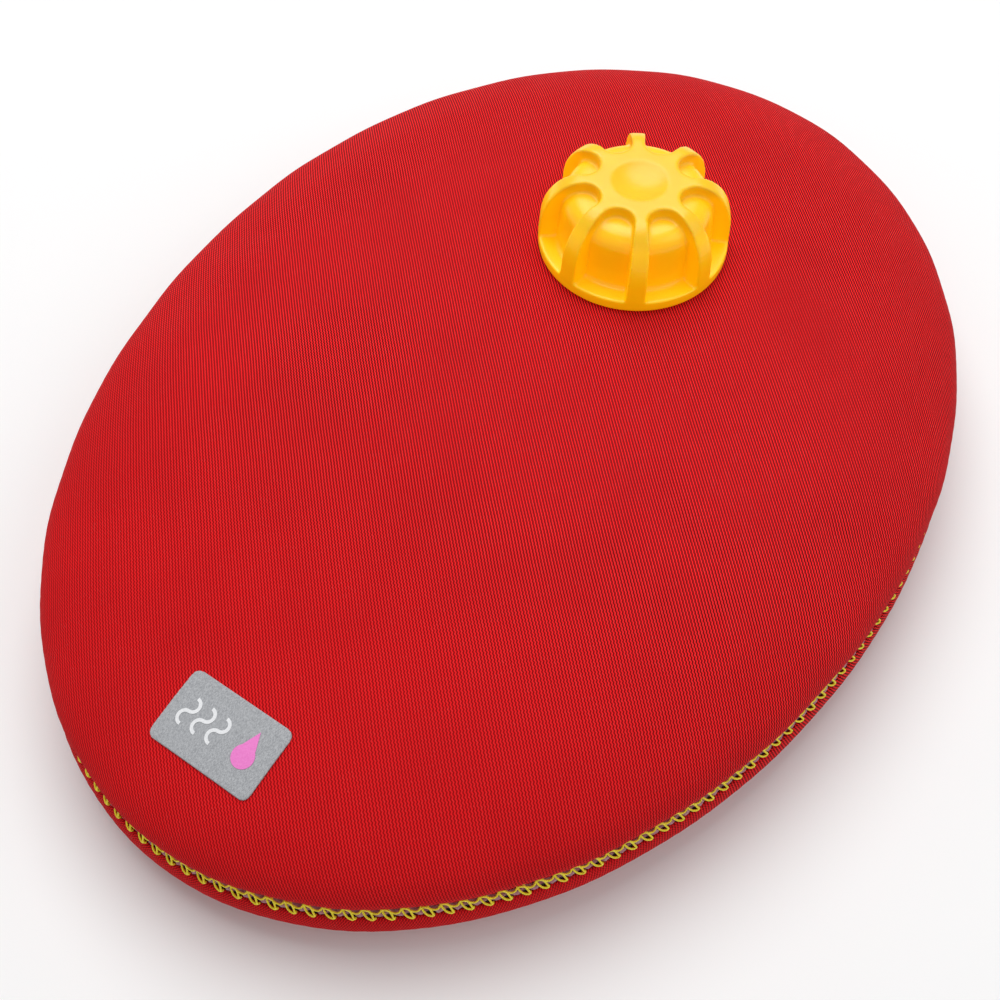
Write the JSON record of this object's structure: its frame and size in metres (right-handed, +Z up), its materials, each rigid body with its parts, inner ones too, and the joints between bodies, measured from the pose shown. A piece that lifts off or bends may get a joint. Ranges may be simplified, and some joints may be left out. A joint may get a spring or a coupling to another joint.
{
  "type": "soft hot-water bottle",
  "caption": "Soft oval hot-water bottle of knit-faced foam, sewn round its rim, with a ribbed screw cap over a moulded neck and a small label.",
  "frame": {"origin": "centre of the footprint box, on the table surface that the bottle lies on", "axes": "+Z up out of the crown, +Y along the body from the label end to the cap end, +X across the body"},
  "size_m": [0.2512, 0.3376, 0.0726],
  "materials": {
    "red_knit": "matt jersey knit with a slight sheen",
    "foam_core": "closed-cell foam",
    "waterproof_lining": "smooth satin film",
    "seam_cement": "dried cement film",
    "seal_tape": "satin",
    "yellow_thread": "twisted polyester thread",
    "neck_plastic": "moulded",
    "soft_seal": "matt",
    "cap_plastic": "glossy, slightly translucent",
    "label_grey": "brushed felt",
    "print_white": "printed film",
    "print_pink": "printed film"
  },
  "bodies": {
    "bottle": {"upper_knit": "red_knit", "upper_foam": "foam_core", "upper_lining": "waterproof_lining", "lower_knit": "red_knit", "lower_foam": "foam_core", "lower_lining": "waterproof_lining", "seam_glue": "seam_cement", "seam_tape": "seal_tape", "edge_thread": "yellow_thread", "cross_thread": "yellow_thread", "neck": "neck_plastic", "flange_washer": "soft_seal", "clamp_ring": "neck_plastic", "label_patch": "label_grey", "label_waves": "print_white", "label_drop": "print_pink"},
    "seal": {"cap_seal": "soft_seal"},
    "cap": {"cap": "cap_plastic"}
  },
  "joints": [
    {"name": "cap_rise", "type": "slide", "parent": "bottle", "child": "seal", "axis": [0, 0, 1], "range_m": [0, 0.0165]},
    {"name": "cap_turn", "type": "hinge", "parent": "seal", "child": "cap", "pos_m": [0, 0.0635, 0.0463], "axis": [0, 0, 1], "range_deg": [0, 990]}
  ],
  "couplings": [
    {"joint": "cap_turn", "follows": "cap_rise", "rad_per_m": 1047.2}
  ]
}
